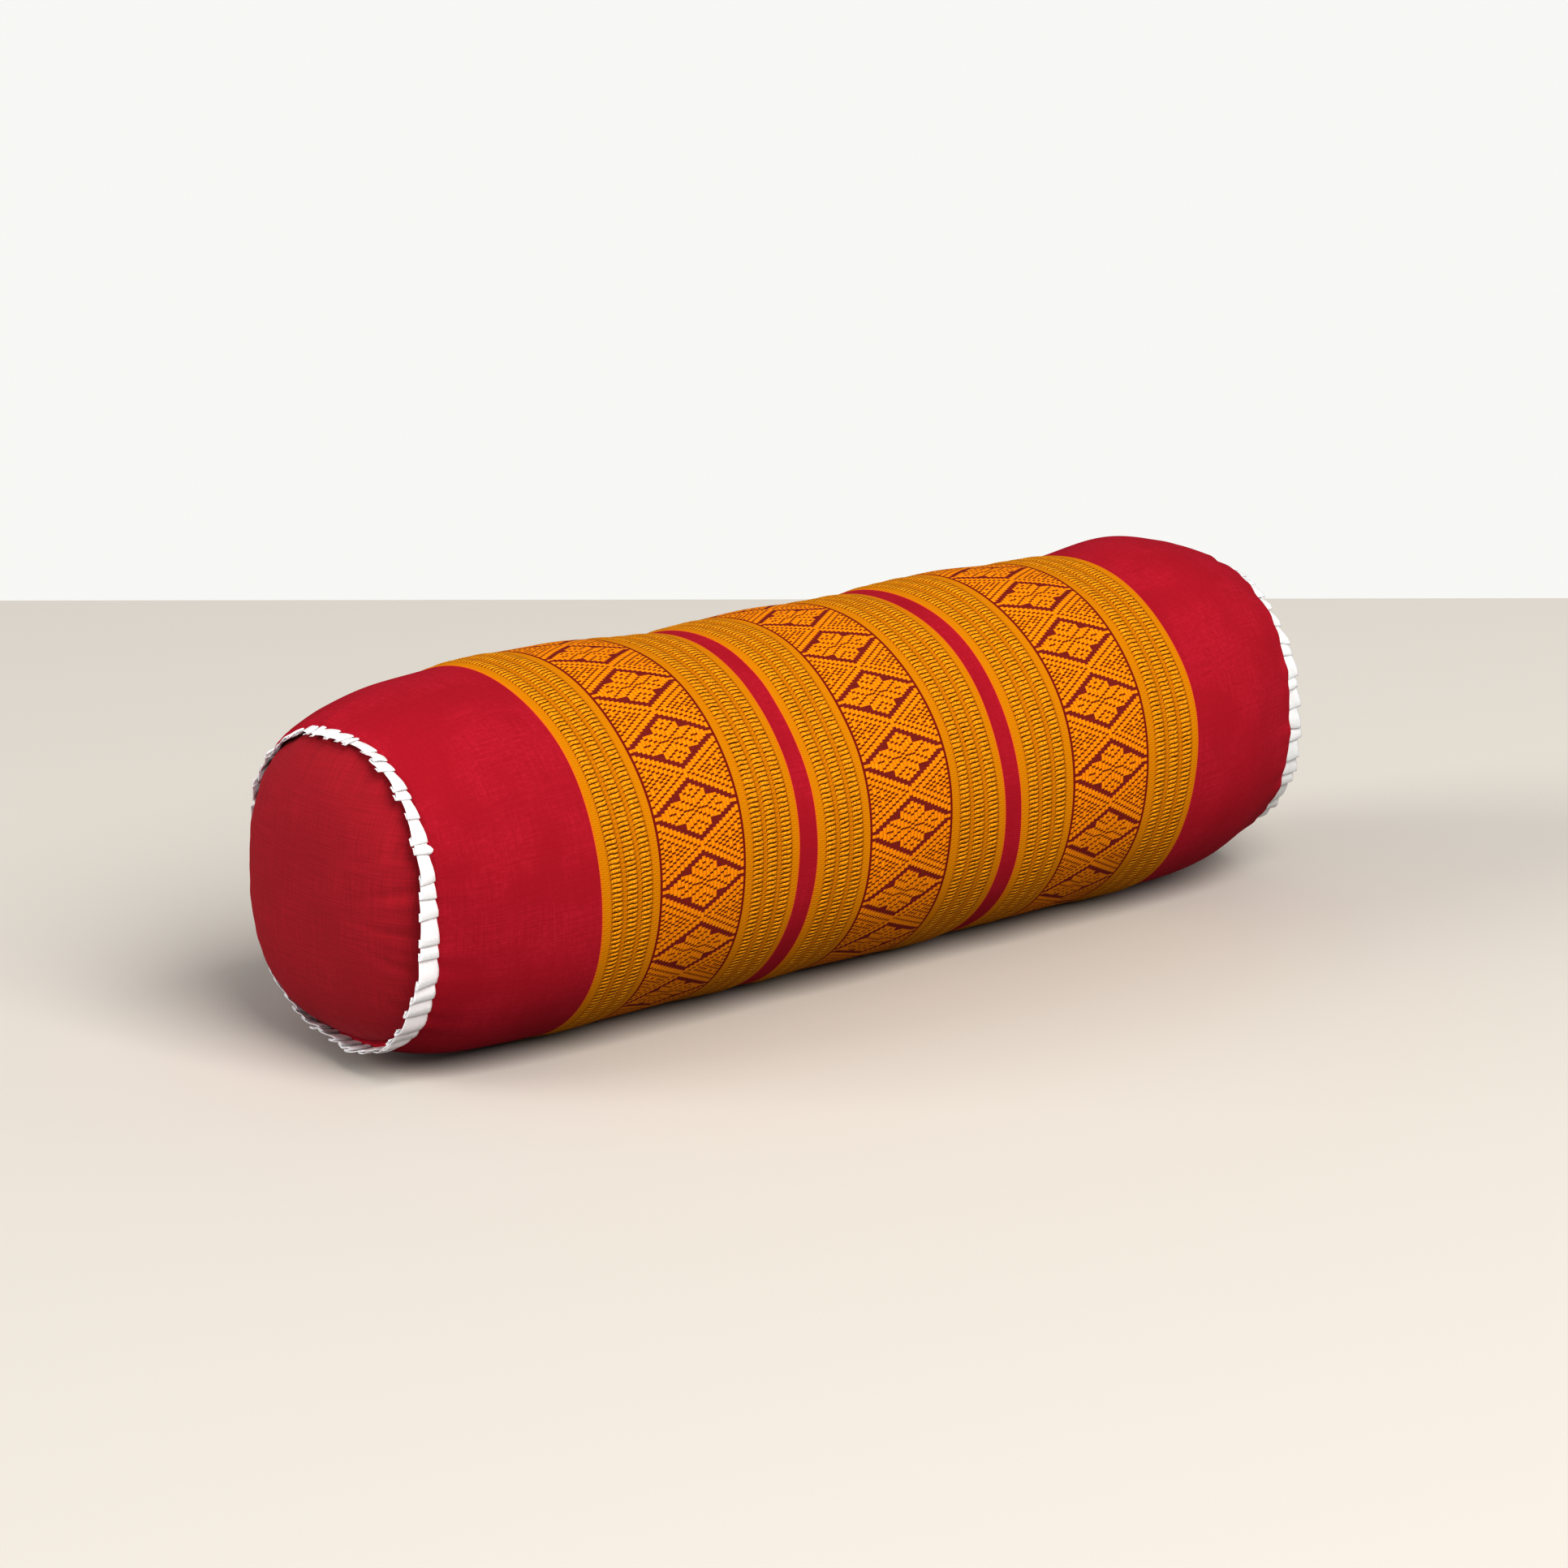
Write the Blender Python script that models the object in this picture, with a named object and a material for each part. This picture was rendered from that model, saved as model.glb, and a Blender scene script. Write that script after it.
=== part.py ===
"""Neck roll: a filled woven tube with two crowned round ends and a pleated ribbon in each end seam.

Metres, +Z up. The origin is under the middle of the roll, on the surface that it lies on. +X runs along
the roll from its left end to its right end, and +Y points to its back.
"""
import math
from collections import namedtuple

import bpy
import bmesh
from mathutils import Vector

# Driving dimensions
LENGTH = 0.494                # over both crowned ends
CROWN = 0.0195                # how far a round end bulges past its seam
SEAM_X = LENGTH / 2 - CROWN
CENTRE_Z = 0.0650             # height of the widest level above the surface
UPPER_POWER = 2.0             # superellipse powers of the upper and lower halves: the underside sags squarer
LOWER_POWER = 2.35
END_UPPER_POWER = 2.3         # and at the seams, where both halves are squarer
END_LOWER_POWER = 2.6
CLOTH_GAP = 0.0003            # between pieces that lie on each other

# The girth of the roll. A tight filling swells it between the stripes and its ends draw in to the seams.
Station = namedtuple("Station", "x half_width rise drop")
STATIONS = [
    Station(-0.2275, 0.0612, 0.0630, 0.0578),   # left seam
    Station(-0.2095, 0.0690, 0.0689, 0.0622),
    Station(-0.1875, 0.0738, 0.0731, 0.0647),
    Station(-0.1560, 0.0763, 0.0753, 0.0663),
    Station(-0.1115, 0.0772, 0.0764, 0.0663),   # first broad band
    Station(-0.0635, 0.0758, 0.0724, 0.0663),   # first stripe
    Station(-0.0090, 0.0771, 0.0731, 0.0663),   # middle broad band
    Station(0.0455, 0.0760, 0.0725, 0.0663),    # second stripe
    Station(0.1000, 0.0770, 0.0746, 0.0663),    # third broad band
    Station(0.1520, 0.0750, 0.0719, 0.0663),    # edge of the plain right end
    Station(0.1890, 0.0727, 0.0742, 0.0660),
    Station(0.2105, 0.0672, 0.0706, 0.0622),
    Station(0.2275, 0.0608, 0.0640, 0.0583),    # right seam
]
END_TURN = {-1: 0.072, 1: 0.090}   # slopes of the ends, which are sewn in a little askew
END_START = 0.150                  # distance from the middle where the ends begin to differ from it

# Seams and end panels
EDGE_ROUND = 0.0020           # radius of the tube's rolled edge at a seam
PANEL_INSET = 0.0035          # from the tube's edge in to the panel's rim
PANEL_THICKNESS = 0.0015
CROWN_FULLNESS = 2.8          # powers of the crown's profile
CROWN_SHOULDER = 0.64
PANEL_FIT = 0.00035           # between a panel and the filling under it

# Frill
PLEATS = 52
PLEAT_DRIFT = 0.12            # unevenness of the pleats, in pleats
RIBBON = 0.0010               # thickness of the ribbon
LAYER_STEP = 0.00135          # from one folded layer to the next
PLEAT_UNDERLAP = 0.34         # share of a pleat that lies folded under the one before
FRILL_INSET = 0.0026          # from the tube's edge in to the inner layer's middle
FRILL_WAVE = 0.0008           # unevenness of the free edge

# How wide the ribbon stands out of the seam, and how many degrees it leans in over the panel. The turn runs
# round the seam from the back, over the top and the front.
Ribbon = namedtuple("Ribbon", "turn width lean")
RIBBONS = {
    -1: [Ribbon(0.00, 0.0065, 25), Ribbon(0.25, 0.0078, 9), Ribbon(0.40, 0.0080, 0),
         Ribbon(0.50, 0.0088, -3), Ribbon(0.62, 0.0100, 0), Ribbon(0.75, 0.0092, 9),
         Ribbon(0.88, 0.0075, 20)],
    1: [Ribbon(0.00, 0.0080, 5), Ribbon(0.25, 0.0085, 12), Ribbon(0.50, 0.0092, 20),
        Ribbon(0.75, 0.0090, 18)],
}

# Mesh steps
AROUND = 56
BODY_RINGS = 30
CROWN_RINGS = 6
EDGE_STEPS = 2


def along(x, column):
    """A smooth value of one column of STATIONS at x, which stays level past the ends."""
    xs = [station.x for station in STATIONS]
    values = [getattr(station, column) for station in STATIONS]
    x = min(max(x, xs[0]), xs[-1])
    i = max(k for k in range(len(xs) - 1) if x >= xs[k])

    def slope(k):
        low, high = max(k - 1, 0), min(k + 1, len(xs) - 1)
        return (values[high] - values[low]) / (xs[high] - xs[low])

    span = xs[i + 1] - xs[i]
    t = (x - xs[i]) / span
    return ((2 * t ** 3 - 3 * t ** 2 + 1) * values[i] + (t ** 3 - 2 * t ** 2 + t) * span * slope(i)
            + (3 * t ** 2 - 2 * t ** 3) * values[i + 1] + (t ** 3 - t ** 2) * span * slope(i + 1))


def endness(x):
    """0 in the middle of the roll, rising smoothly to 1 at both seams and past them."""
    t = min(max((abs(x) - END_START) / (SEAM_X - END_START), 0.0), 1.0)
    return t * t * (3 - 2 * t)


def askew(x, y):
    """Shift along the roll that turns each end a little."""
    return END_TURN[1 if x > 0 else -1] * endness(x) * y


def girth_point(x, angle):
    """Offset from the roll's middle line to its surface, as y and z."""
    across, up = math.cos(angle), math.sin(angle)
    share = endness(x)
    if up >= 0:
        height = along(x, "rise")
        power = UPPER_POWER + (END_UPPER_POWER - UPPER_POWER) * share
    else:
        height = along(x, "drop")
        power = LOWER_POWER + (END_LOWER_POWER - LOWER_POWER) * share
    return (along(x, "half_width") * math.copysign(abs(across) ** (2 / power), across),
            height * math.copysign(abs(up) ** (2 / power), up))


def surface(x, angle, inset=0.0):
    """A point of the roll, or of a smaller ring inside it, never lower than the floor."""
    y, z = girth_point(x, angle)
    radius = math.hypot(y, z)
    scale = (radius - inset) / radius
    return Vector((x + askew(x, y * scale), y * scale, max(z * scale + CENTRE_Z, 0.0)))


def crown_ring(end, inset, bulge, share):
    """One ring of a crowned end: share runs from 0 in its middle to 1 at its rim."""
    lift = bulge * (1 - share ** CROWN_FULLNESS) ** CROWN_SHOULDER
    ring = []
    for i in range(AROUND):
        y, z = girth_point(end * SEAM_X, math.tau * i / AROUND)
        scale = share * (1 - inset / math.hypot(y, z))
        x = end * (SEAM_X + lift)
        ring.append(Vector((x + askew(x, y * scale), y * scale, z * scale + CENTRE_Z)))
    return ring


def crown_shares():
    """Rings from the rim to the last one before the middle, closer together near the rim."""
    return [math.sin(math.pi / 2 * k / CROWN_RINGS) for k in range(CROWN_RINGS, 0, -1)]


def join_rings(mesh, rings, loop=False):
    """Quads between each two rings of vertices."""
    count = len(rings)
    for k in range(count if loop else count - 1):
        first, second = rings[k], rings[(k + 1) % count]
        for i in range(len(first)):
            j = (i + 1) % len(first)
            mesh.faces.new((first[i], first[j], second[j], second[i]))


def close_with_fan(mesh, ring, tip):
    """Triangles from a ring to one point in its middle."""
    for i in range(len(ring)):
        mesh.faces.new((ring[i], ring[(i + 1) % len(ring)], tip))


def make_material(name, colour, roughness):
    material = bpy.data.materials.new(name)
    material.use_nodes = True
    shader = material.node_tree.nodes["Principled BSDF"]
    shader.inputs["Base Color"].default_value = (*colour, 1.0)
    shader.inputs["Roughness"].default_value = roughness
    shader.inputs["Metallic"].default_value = 0.0
    return material


def make_object(name, mesh, material):
    """An object from a closed bmesh, with its faces turned out."""
    bmesh.ops.recalc_face_normals(mesh, faces=mesh.faces)
    data = bpy.data.meshes.new(name)
    mesh.to_mesh(data)
    mesh.free()
    data.shade_smooth()
    data.set_sharp_from_angle(angle=math.radians(40))
    data.materials.append(material)
    thing = bpy.data.objects.new(name, data)
    bpy.context.scene.collection.objects.link(thing)
    return thing


def build_cover(material):
    """The filled tube: its wall, a rolled edge at each seam, and the filling's crown behind each panel."""
    under_panel = PANEL_THICKNESS + PANEL_FIT
    crown_inset = PANEL_INSET + under_panel
    crown_bulge = CROWN - under_panel - CLOTH_GAP
    rows = []
    for share in reversed(crown_shares()):
        rows.append(crown_ring(-1, crown_inset, crown_bulge, share))
    wall = SEAM_X - EDGE_ROUND
    for k in range(EDGE_STEPS, 0, -1):
        turn = math.pi / 2 * k / EDGE_STEPS
        x = -wall - EDGE_ROUND * math.sin(turn)
        rows.append([surface(x, math.tau * i / AROUND, EDGE_ROUND * (1 - math.cos(turn)))
                     for i in range(AROUND)])
    for k in range(BODY_RINGS):
        x = wall * (2 * k / (BODY_RINGS - 1) - 1)
        rows.append([surface(x, math.tau * i / AROUND) for i in range(AROUND)])
    for k in range(1, EDGE_STEPS + 1):
        turn = math.pi / 2 * k / EDGE_STEPS
        x = wall + EDGE_ROUND * math.sin(turn)
        rows.append([surface(x, math.tau * i / AROUND, EDGE_ROUND * (1 - math.cos(turn)))
                     for i in range(AROUND)])
    for share in crown_shares():
        rows.append(crown_ring(1, crown_inset, crown_bulge, share))
    mesh = bmesh.new()
    rings = [[mesh.verts.new(point) for point in row] for row in rows]
    join_rings(mesh, rings)
    for end, ring in ((-1, rings[0]), (1, rings[-1])):
        tip = mesh.verts.new((end * (SEAM_X + crown_bulge), 0.0, CENTRE_Z))
        close_with_fan(mesh, ring, tip)
    return make_object("cover", mesh, material)


def build_end_panel(name, end, material):
    """One round panel: a thin sheet, crowned, with its rim at the seam."""
    mesh = bmesh.new()
    rings, tips = [], []
    for inset, bulge in ((PANEL_INSET, CROWN - CLOTH_GAP),
                         (PANEL_INSET + PANEL_THICKNESS, CROWN - CLOTH_GAP - PANEL_THICKNESS)):
        skin = [[mesh.verts.new(point + Vector((end * CLOTH_GAP, 0, 0)))
                 for point in crown_ring(end, inset, bulge, share)] for share in crown_shares()]
        tips.append(mesh.verts.new((end * (SEAM_X + CLOTH_GAP + bulge), 0.0, CENTRE_Z)))
        rings.append(skin)
    outer, inner = rings
    join_rings(mesh, list(reversed(outer)) + inner)
    close_with_fan(mesh, outer[-1], tips[0])
    close_with_fan(mesh, inner[-1], tips[1])
    return make_object(name, mesh, material)


def seam_path(end):
    """Points along one seam with the distance from its start, fine enough to measure."""
    steps = 12 * AROUND
    points = []
    for k in range(steps + 1):
        points.append(Vector(girth_point(end * SEAM_X, math.tau * k / steps)))
    distances = [0.0]
    for before, after in zip(points, points[1:]):
        distances.append(distances[-1] + (after - before).length)
    return points, distances


def on_seam(path, distance):
    """The seam's point and its outward direction at a distance along it."""
    points, distances = path
    whole = distances[-1]
    distance = distance % whole
    low, high = 0, len(distances) - 1
    while high - low > 1:
        middle = (low + high) // 2
        if distances[middle] <= distance:
            low = middle
        else:
            high = middle
    share = (distance - distances[low]) / (distances[high] - distances[low])
    point = points[low].lerp(points[high], share)
    tangent = (points[high] - points[low]).normalized()
    return point, Vector((tangent.y, -tangent.x))


def pleat_line(pitch):
    """The ribbon's middle line, as distance along the seam and height above its inner layer.

    Each pleat starts under the one before, comes out, lies over the next one's start and folds back.
    """
    under = pitch * PLEAT_UNDERLAP
    starts = [pitch * (k + PLEAT_DRIFT * math.sin(2.4 * k)) for k in range(PLEATS)]
    starts.append(starts[0] + pitch * PLEATS)
    line = []
    for start, end in zip(starts, starts[1:]):
        line += [
            (start - under, 0.0),
            (start, 0.0),
            (end - under, 2 * LAYER_STEP),
            (end, 2 * LAYER_STEP),
            (end, LAYER_STEP),
            (end - under, LAYER_STEP),
        ]
    return line


def thick_line(line, whole, thickness):
    """Both sides of a closed line of the given thickness, with mitred corners."""
    sides = ([], [])
    count = len(line)
    for k in range(count):
        here = Vector(line[k])
        before = Vector(line[k - 1]) - (Vector((whole, 0)) if k == 0 else Vector((0, 0)))
        after = Vector(line[(k + 1) % count]) + (Vector((whole, 0)) if k == count - 1 else Vector((0, 0)))
        arriving = (here - before).normalized()
        leaving = (after - here).normalized()
        normal = Vector((-arriving.y, arriving.x)) + Vector((-leaving.y, leaving.x))
        normal /= max(normal.length_squared / 2, 0.5)
        sides[0].append(here + normal * thickness / 2)
        sides[1].append(here - normal * thickness / 2)
    return sides


def ribbon_at(end, share, column):
    """A smooth value of one column of RIBBONS at a share of the way round the seam."""
    rows = RIBBONS[end]
    share %= 1.0
    i = max(k for k in range(len(rows)) if share >= rows[k].turn)
    here, after = rows[i], rows[(i + 1) % len(rows)]
    span = (after.turn - here.turn) % 1.0
    t = (share - here.turn) / span
    t = t * t * (3 - 2 * t)
    return getattr(here, column) * (1 - t) + getattr(after, column) * t


def free_edge(share):
    """How far the free edge of the frill strays outwards and along the roll, round the seam."""
    turn = math.tau * share
    outwards = FRILL_WAVE * (0.9 + 0.5 * math.sin(7 * turn + 0.6) + 0.4 * math.sin(16 * turn + 2.1))
    lengthwise = FRILL_WAVE * (0.7 * math.sin(5 * turn + 1.3) + 0.5 * math.sin(19 * turn))
    return outwards, lengthwise


def build_frill(name, end, material):
    """One pleated ribbon, folded back and forth round the seam and standing out of it."""
    path = seam_path(end)
    whole = path[1][-1]
    line = pleat_line(whole / PLEATS)
    mesh = bmesh.new()
    rings = []
    for side in thick_line(line, whole, RIBBON):
        root, edge = [], []
        for distance, height in side:
            point, outward = on_seam(path, distance)
            stray_out, stray_along = free_edge(distance / whole)
            width = ribbon_at(end, distance / whole, "width")
            lean = math.radians(ribbon_at(end, distance / whole, "lean"))
            free_reach = width * math.cos(lean) + stray_along
            for ring, reach, stray in ((root, 0.0, 0.0),
                                       (edge, free_reach, stray_out - width * math.sin(lean))):
                y, z = point + outward * (height + stray - FRILL_INSET)
                x = end * (SEAM_X + CLOTH_GAP + reach)
                ring.append(mesh.verts.new((x + askew(x, y), y, z + CENTRE_Z)))
        rings.append((root, edge))
    (upper_root, upper_edge), (lower_root, lower_edge) = rings
    join_rings(mesh, [upper_root, upper_edge, lower_edge, lower_root], loop=True)
    return make_object(name, mesh, material)


def main():
    for thing in list(bpy.data.objects):
        bpy.data.objects.remove(thing, do_unlink=True)
    woven = make_material("woven_cloth", (0.50, 0.20, 0.01), 0.85)
    plain = make_material("plain_cotton", (0.26, 0.012, 0.016), 0.9)
    ribbon = make_material("white_ribbon", (0.86, 0.86, 0.88), 0.6)
    build_cover(woven)
    build_end_panel("end_panel_left", -1, plain)
    build_end_panel("end_panel_right", 1, plain)
    build_frill("frill_left", -1, ribbon)
    build_frill("frill_right", 1, ribbon)


main()
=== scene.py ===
"""Dressed scene of a small filled neck roll: a woven tube, two crowned end panels and a pleated ribbon in
each end seam. Metres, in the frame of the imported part."""

import math
import random
from collections import namedtuple

import bpy
import numpy as np
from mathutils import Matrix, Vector


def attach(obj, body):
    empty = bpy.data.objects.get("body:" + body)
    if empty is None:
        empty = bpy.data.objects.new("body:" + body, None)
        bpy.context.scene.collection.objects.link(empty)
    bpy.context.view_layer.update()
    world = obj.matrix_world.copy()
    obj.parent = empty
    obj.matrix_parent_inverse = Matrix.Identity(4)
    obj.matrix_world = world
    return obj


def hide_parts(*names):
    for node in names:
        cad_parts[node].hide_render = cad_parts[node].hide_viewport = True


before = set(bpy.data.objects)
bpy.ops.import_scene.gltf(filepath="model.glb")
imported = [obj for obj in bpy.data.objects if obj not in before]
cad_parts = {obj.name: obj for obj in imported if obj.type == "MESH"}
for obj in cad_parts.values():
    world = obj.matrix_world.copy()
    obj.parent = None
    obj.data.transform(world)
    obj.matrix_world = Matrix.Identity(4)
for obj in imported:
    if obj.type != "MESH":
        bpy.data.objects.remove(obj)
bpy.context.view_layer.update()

# Tube: the named sizes of the part's source, but rounder below, and higher low at the far end.
# In pairs, -1 is the near end and 1 the far one.
LENGTH = 0.494
CROWN = 0.0195
SEAM_X = LENGTH / 2 - CROWN
CENTRE_Z = 0.065
UPPER_POWER = 2.0
LOWER_POWER = 2.2
END_UPPER_POWER = 2.3
END_LOWER_POWER = {-1: 2.5, 1: 2.2}
CLOTH_GAP = 0.0003
STATIONS = np.array([
    # x, half width, rise, drop
    (-0.2275, 0.0612, 0.0630, 0.0578),
    (-0.2095, 0.0690, 0.0689, 0.0622),
    (-0.1875, 0.0738, 0.0731, 0.0647),
    (-0.1560, 0.0763, 0.0753, 0.0663),
    (-0.1115, 0.0772, 0.0764, 0.0663),
    (-0.0635, 0.0758, 0.0724, 0.0663),
    (-0.0090, 0.0771, 0.0731, 0.0663),
    (0.0455, 0.0760, 0.0725, 0.0663),
    (0.1000, 0.0770, 0.0746, 0.0663),
    (0.1520, 0.0750, 0.0719, 0.0663),
    (0.1890, 0.0727, 0.0742, 0.0642),
    (0.2105, 0.0672, 0.0706, 0.0588),
    (0.2275, 0.0608, 0.0640, 0.0545),
])
HALF_WIDTH, RISE, DROP = 1, 2, 3
END_TURN = {-1: 0.072, 1: 0.090}
END_START = 0.150             # the ends' shape sets in from here outwards
EDGE_ROUND = 0.0020
EDGE_STEPS = 4                # rings in each rolled edge
GATHER_REACH = 0.0085         # how fast the gathers fade away from a seam
GATHER_GAIN = 1.6
PANEL_INSET = 0.0035
PANEL_CLOTH = 0.0007
PANEL_STEPS = 34
PUCKER = 0.0007               # folds of a panel at its seam
PANEL_WAVE = 0.0003
CROWN_FULLNESS = 2.8
CROWN_SHOULDER = 0.64
CROWN_SINK = 0.0022           # from the panel down to the filling's own crown
CAP_SHARES = (1.0, 0.96, 0.88, 0.74, 0.52, 0.27)
CAP_PLACE = 500.0             # cloth coordinate of that crown, past the weave
# Creases in the near panel, from the seam inwards
Crease = namedtuple("Crease", "turn half_width depth reach")
CREASES = [
    Crease(0.168, 0.006, 0.00081, 9.0),
    Crease(0.197, 0.005, 0.00122, 5.0),
    Crease(0.214, 0.004, 0.00108, 6.0),
    Crease(0.236, 0.005, 0.00149, 4.0),
    Crease(0.258, 0.004, 0.00095, 7.0),
    Crease(0.283, 0.006, 0.00122, 5.0),
    Crease(0.330, 0.006, 0.00081, 9.0),
    Crease(0.452, 0.007, 0.00081, 7.0),
]
AROUND = 208
ALONG = 400
DENSE = 1440                  # steps that measure the way round a ring

# Weave: three gold groups on a red ground. Cloth coordinates run along the roll, 0 to 100 in each group and
# 10 from group to group, and round it in half rows of the chart.
GROUP = 110.0
GOLD = 100.0
WEAVE_END = 320.0
REPEATS = 17                  # diamonds round the tube
HALF_ROWS = 30                # half rows in one diamond
ROW_MM = 0.92                 # one half row in millimetres
PHASE = -0.267                # diamonds from the underside's middle to the first centre
PHASE_SLANT = -1.30           # and how that changes with each metre along the roll
PHASE_X = -0.0300             # where along the roll PHASE holds
# Where each edge of the weave lies along the roll: in front, and how much further right it is over the top
# and low in front.
Edge = namedtuple("Edge", "cloth middle top low")
EDGES = [
    Edge(-68.0, -0.2275, 0.0, 0.0),
    Edge(0.0, -0.1653, -0.0004, 0.0012),
    Edge(28.2, -0.1383, 0.0000, 0.0000),
    Edge(71.8, -0.0953, 0.0006, -0.0008),
    Edge(100.0, -0.0658, 0.0028, -0.0034),
    Edge(110.0, -0.0570, 0.0026, -0.0030),
    Edge(138.2, -0.0300, 0.0030, -0.0035),
    Edge(181.8, 0.0132, -0.0008, -0.0015),
    Edge(210.0, 0.0420, -0.0012, 0.0008),
    Edge(220.0, 0.0504, -0.0006, 0.0014),
    Edge(248.2, 0.0793, 0.0006, -0.0022),
    Edge(291.8, 0.1230, 0.0024, -0.0048),
    Edge(320.0, 0.1540, 0.0010, -0.0070),
    Edge(398.0, 0.2275, 0.0, 0.0),
]
BAND_LIFT = 0.0004            # the gold groups stand a little above the red ground
BRAID_LIFT = 0.00045
BRAID_CENTRES = (6.8, 14.1, 21.4)
BRAID_PITCH = 7.3
BRAID_WIDTH = 4.6
FLOAT_STEP = 1.81             # from one column of floats to the next
OUTLINE_IN = 10.65            # maroon outline of a diamond, in columns and half rows from its centre
OUTLINE_OUT = 13.05
BORDER_IN = 20.75             # thin line beside the diamonds, from the group's middle
BORDER_OUT = 21.85
THREAD_PITCH = 0.62           # threads of the plain red weave, in millimetres

# Frill
PLEATS = 52
RIBBON = 0.00025
RIBBON_WIDTH = 0.0115
RIBBON_ROOT = 0.0022          # how far the ribbon reaches back into the seam
LAYER_STEP = 0.00050
PLEAT_UNDERLAP = 0.34
LOOSE_PLEAT = 22              # the one near pleat with a corner folded back over the tube
CORNER_BACK = 0.0060
CORNER_OUT = 0.0018
FRILL_SEED = {-1: 11, 1: 23}
FRILL_DENSE = 2880
SLOPE_REACH = 0.0004          # how far to each side the seam's direction is measured
# Places across the ribbon's width. The first is the edge held in the seam.
RIBBON_SHARES = (-1.0, 0.0, 0.12, 0.30, 0.50, 0.70, 0.88, 1.0)
# Ribbon(turn round the seam from the back over the top and the front, width that shows, lean in over the
# panel in degrees, distance in from the tube's edge)
Ribbon = namedtuple("Ribbon", "turn width lean inset")
RIBBONS = {
    -1: [
        Ribbon(0.00, 0.0044, 42, 0.0032),
        Ribbon(0.09, 0.0060, 22, 0.0026),
        Ribbon(0.16, 0.0060, 18, 0.0024),
        Ribbon(0.25, 0.0052, 12, 0.0022),
        Ribbon(0.37, 0.0052, -6, 0.0018),
        Ribbon(0.46, 0.0070, -6, 0.0012),
        Ribbon(0.54, 0.0092, -5, 0.0006),
        Ribbon(0.62, 0.0104, -3, 0.0004),
        Ribbon(0.70, 0.0098, 4, 0.0010),
        Ribbon(0.78, 0.0074, 16, 0.0023),
        Ribbon(0.86, 0.0050, 30, 0.0030),
        Ribbon(0.94, 0.0040, 44, 0.0032),
    ],
    1: [
        Ribbon(0.00, 0.0070, 5, 0.0022),
        Ribbon(0.22, 0.0042, 20, 0.0028),
        Ribbon(0.36, 0.0046, 16, 0.0026),
        Ribbon(0.46, 0.0064, 12, 0.0022),
        Ribbon(0.58, 0.0074, 10, 0.0018),
        Ribbon(0.70, 0.0080, 8, 0.0016),
        Ribbon(0.85, 0.0074, 14, 0.0022),
    ],
}


def colour(red, green, blue):
    """A linear colour from screen values of 0 to 255."""
    values = [channel / 255 for channel in (red, green, blue)]
    return tuple(v / 12.92 if v <= 0.04045 else ((v + 0.055) / 1.055) ** 2.4 for v in values) + (1.0,)


# Dyes
RED_DARK = colour(158, 26, 42)
RED_LIGHT = colour(170, 32, 50)
RED_FLECK = colour(178, 38, 60)
DISC_DARK = colour(152, 30, 42)
DISC_LIGHT = colour(166, 34, 47)
GOLD_PLAIN = colour(200, 131, 5)
GOLD_PLAIN_LINE = colour(186, 117, 0)
GOLD_BLOB_DARK = colour(212, 131, 11)
GOLD_BLOB_LIGHT = colour(240, 171, 32)
GOLD_STRIP = colour(194, 123, 6)
GOLD_STRIP_LINE = colour(163, 97, 2)
GOLD_LINE = colour(76, 32, 0)
GOLD_DOT = colour(112, 58, 0)
GOLD_EDGE = colour(212, 112, 26)
ORANGE_DARK = colour(222, 128, 5)
ORANGE_LIGHT = colour(238, 156, 14)
# painted shade for the sides of each float, where it falls away into the gap beside it
ORANGE_PAINTED_SHADE = colour(134, 57, 8)
TIE = colour(101, 33, 18)
MAROON_DARK = colour(107, 32, 28)
MAROON_LIGHT = colour(130, 42, 33)
BORDER = colour(120, 29, 21)
WHITE_DARK = colour(243, 243, 245)
WHITE_LIGHT = colour(247, 247, 248)
WHITE_EDGE = colour(238, 238, 241)
FLOOR = colour(206, 201, 193)
FLOOR_GLOW = colour(132, 126, 120)       # what the floor bounces on to the cloth
BACKDROP = colour(249, 249, 247)
SKY = (0.94, 0.96, 1.0, 1.0)
SKY_STRENGTH = 0.40


def smooth(value, start, end):
    """0 below start, 1 above end, smooth between."""
    t = np.clip((value - start) / (end - start), 0.0, 1.0)
    return t * t * (3 - 2 * t)


def along(x, column):
    """A smooth value of one column of STATIONS at x, which stays level past the ends."""
    xs, values = STATIONS[:, 0], STATIONS[:, column]
    last = len(xs) - 1
    slopes = np.array([(values[min(k + 1, last)] - values[max(k - 1, 0)])
                       / (xs[min(k + 1, last)] - xs[max(k - 1, 0)]) for k in range(last + 1)])
    x = np.clip(x, xs[0], xs[-1])
    i = np.clip(np.searchsorted(xs, x, side="right") - 1, 0, last - 1)
    span = xs[i + 1] - xs[i]
    t = (x - xs[i]) / span
    return ((2 * t ** 3 - 3 * t ** 2 + 1) * values[i] + (t ** 3 - 2 * t ** 2 + t) * span * slopes[i]
            + (3 * t ** 2 - 2 * t ** 3) * values[i + 1] + (t ** 3 - t ** 2) * span * slopes[i + 1])


def endness(x):
    """0 in the middle of the roll, rising smoothly to 1 at both seams and past them."""
    return smooth(np.abs(x), END_START, SEAM_X)


def askew(x, y):
    """Shift along the roll that turns each end a little."""
    return np.where(np.asarray(x) > 0, END_TURN[1], END_TURN[-1]) * endness(x) * y


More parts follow.
